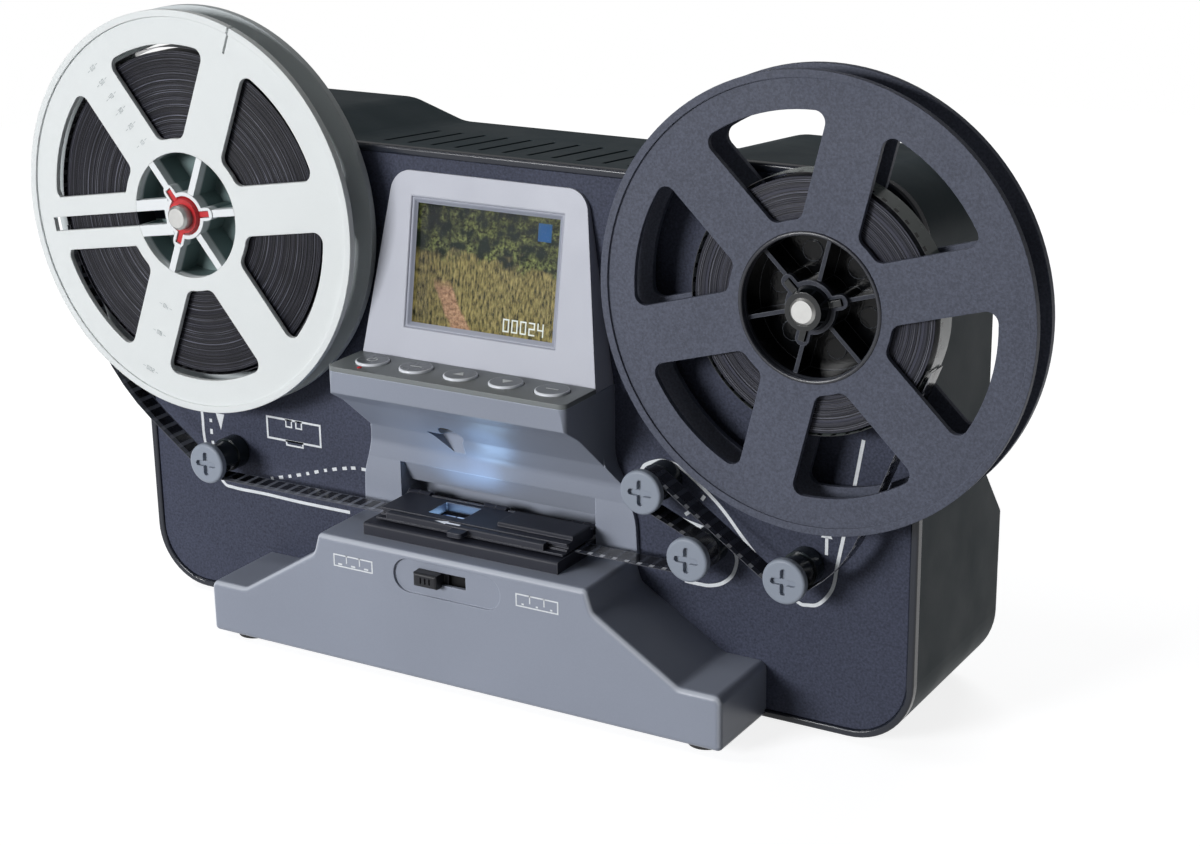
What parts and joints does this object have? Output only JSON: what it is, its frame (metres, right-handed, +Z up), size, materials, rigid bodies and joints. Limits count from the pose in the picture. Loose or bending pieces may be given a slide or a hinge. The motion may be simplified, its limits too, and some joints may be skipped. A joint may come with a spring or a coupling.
{
  "type": "film scanner",
  "caption": "Desktop scanner for small-gauge film reels: raised console with screen and buttons, film gate, guide rollers and two turning reels with film.",
  "frame": {"origin": "on the floor, under the middle of the bounding box", "axes": "+X to the right seen from the front, +Y from the reels to the rear face, +Z up"},
  "size_m": [0.3481, 0.1002, 0.2025],
  "materials": {
    "housing_dark": "fine grained dark blue-grey",
    "panel_blue_grey": "fine grained dark blue-grey with printed film path",
    "trim_dark": "smooth dark bead",
    "body_grey": "satin cool mid grey",
    "bezel_grey": "satin cool light grey",
    "plate_olive": "satin dark olive grey",
    "screen_glass": "clear window",
    "screen_module": "screen with a plain picture",
    "button_grey": "round buttons with plain icons",
    "red_light": "red status light",
    "gate_black": "glossy black",
    "diffuser_white": "milky lit window",
    "inner_white": "white",
    "steel": "bright steel",
    "motor_metal": "plated steel can",
    "lens_black": "black lens barrel",
    "board_green": "circuit board",
    "socket_black": "black",
    "belt_rubber": "black rubber",
    "bush_plastic": "black",
    "film_black": "dark film",
    "leader_pale": "pale leader film",
    "supply_turn_dark": "dark film",
    "reel_white": "pale cool grey",
    "reel_white_back": "pale grey green",
    "reel_black": "fine grained dark blue-grey",
    "adaptor_red": "red",
    "adaptor_black": "black",
    "roller_dark": "glossy dark barrel with a mid grey head",
    "switch_black": "satin black knob"
  },
  "bodies": {
    "scanner": {"rear_housing": "housing_dark", "panel_trim": "trim_dark", "front_panel": "panel_blue_grey", "base_plinth": "body_grey", "base_cover": "body_grey", "rubber_feet": "belt_rubber", "console_body": "body_grey", "button_plate": "plate_olive", "lcd_bezel": "bezel_grey", "lcd_window": "screen_glass", "lcd_module": "screen_module", "status_led": "red_light", "gate_tray": "gate_black", "light_diffuser": "diffuser_white", "backlight_box": "inner_white", "gate_hinge_pin": "steel", "camera_lens_barrel": "lens_black", "camera_board": "board_green", "main_board": "board_green", "dc_inlet": "socket_black", "usb_socket": "socket_black", "tv_jack": "socket_black", "sd_card_slot": "socket_black", "advance_motor": "motor_metal", "take_up_motor": "motor_metal", "motor_bracket": "steel", "drive_belt": "belt_rubber", "spindle_bushes": "bush_plastic", "roller_posts": "steel", "housing_screws": "steel", "button_board": "board_green", "switch_block": "bush_plastic", "film_strip": "film_black"},
    "supply_reel": {"supply_shaft": "steel", "supply_adaptor": "adaptor_red", "supply_reel_back": "reel_white_back", "supply_reel_front": "reel_white", "supply_film_pack": "film_black", "supply_outer_turn": "supply_turn_dark"},
    "take_up_reel": {"take_up_shaft": "steel", "take_up_adaptor": "adaptor_black", "take_up_reel_back": "reel_black", "take_up_reel_front": "reel_black", "take_up_film_pack": "film_black", "take_up_outer_turn": "leader_pale", "take_up_pulley": "bush_plastic"},
    "motor_rotor": {"motor_pulley": "bush_plastic"},
    "left_roller": {"roller_left": "roller_dark"},
    "upper_roller": {"roller_upper": "roller_dark"},
    "middle_roller": {"roller_middle": "roller_dark"},
    "lower_roller": {"roller_lower": "roller_dark"},
    "door": {"gate_door": "gate_black"},
    "latch": {"gate_latch": "gate_black"},
    "switch": {"format_switch": "switch_black"},
    "button_1_key": {"button_1": "button_grey"},
    "button_2_key": {"button_2": "button_grey"},
    "button_3_key": {"button_3": "button_grey"},
    "button_4_key": {"button_4": "button_grey"},
    "button_5_key": {"button_5": "button_grey"}
  },
  "joints": [
    {"name": "supply_spin", "type": "hinge", "parent": "scanner", "child": "supply_reel", "pos_m": [-0.10905, -0.0179, 0.1375], "axis": [0, 1, 0], "continuous": true},
    {"name": "take_up_spin", "type": "hinge", "parent": "scanner", "child": "take_up_reel", "pos_m": [0.10905, -0.0179, 0.1349], "axis": [0, 1, 0], "continuous": true},
    {"name": "motor_spin", "type": "hinge", "parent": "scanner", "child": "motor_rotor", "pos_m": [0.07125, 0.0006, 0.113], "axis": [0, 1, 0], "continuous": true},
    {"name": "left_roller_spin", "type": "hinge", "parent": "scanner", "child": "left_roller", "pos_m": [-0.10775, -0.0259, 0.0542], "axis": [0, 1, 0], "continuous": true},
    {"name": "upper_roller_spin", "type": "hinge", "parent": "scanner", "child": "upper_roller", "pos_m": [0.05605, -0.0259, 0.0724], "axis": [0, 1, 0], "continuous": true},
    {"name": "middle_roller_spin", "type": "hinge", "parent": "scanner", "child": "middle_roller", "pos_m": [0.07135, -0.0259, 0.0542], "axis": [0, 1, 0], "continuous": true},
    {"name": "lower_roller_spin", "type": "hinge", "parent": "scanner", "child": "lower_roller", "pos_m": [0.10255, -0.0259, 0.0535], "axis": [0, 1, 0], "continuous": true},
    {"name": "gate_open", "type": "hinge", "parent": "scanner", "child": "door", "pos_m": [-0.00375, -0.0175, 0.051], "axis": [-1, 0, 0], "range_deg": [0, 65]},
    {"name": "latch_slide", "type": "slide", "parent": "door", "child": "latch", "axis": [-1, 0, 0], "range_m": [0, 0.004]},
    {"name": "format_slide", "type": "slide", "parent": "scanner", "child": "switch", "axis": [1, 0, 0], "range_m": [0, 0.0086]},
    {"name": "button_1_press", "type": "slide", "parent": "scanner", "child": "button_1_key", "axis": [0, 0, -1], "range_m": [0, 0.0006], "stiffness_N_per_m": 200, "springref_m": -0.001},
    {"name": "button_2_press", "type": "slide", "parent": "scanner", "child": "button_2_key", "axis": [0, 0, -1], "range_m": [0, 0.0006], "stiffness_N_per_m": 200, "springref_m": -0.001},
    {"name": "button_3_press", "type": "slide", "parent": "scanner", "child": "button_3_key", "axis": [0, 0, -1], "range_m": [0, 0.0006], "stiffness_N_per_m": 200, "springref_m": -0.001},
    {"name": "button_4_press", "type": "slide", "parent": "scanner", "child": "button_4_key", "axis": [0, 0, -1], "range_m": [0, 0.0006], "stiffness_N_per_m": 200, "springref_m": -0.001},
    {"name": "button_5_press", "type": "slide", "parent": "scanner", "child": "button_5_key", "axis": [0, 0, -1], "range_m": [0, 0.0006], "stiffness_N_per_m": 200, "springref_m": -0.001}
  ],
  "couplings": [
    {"joint": "motor_spin", "follows": "take_up_spin", "ratio": 3.439}
  ]
}
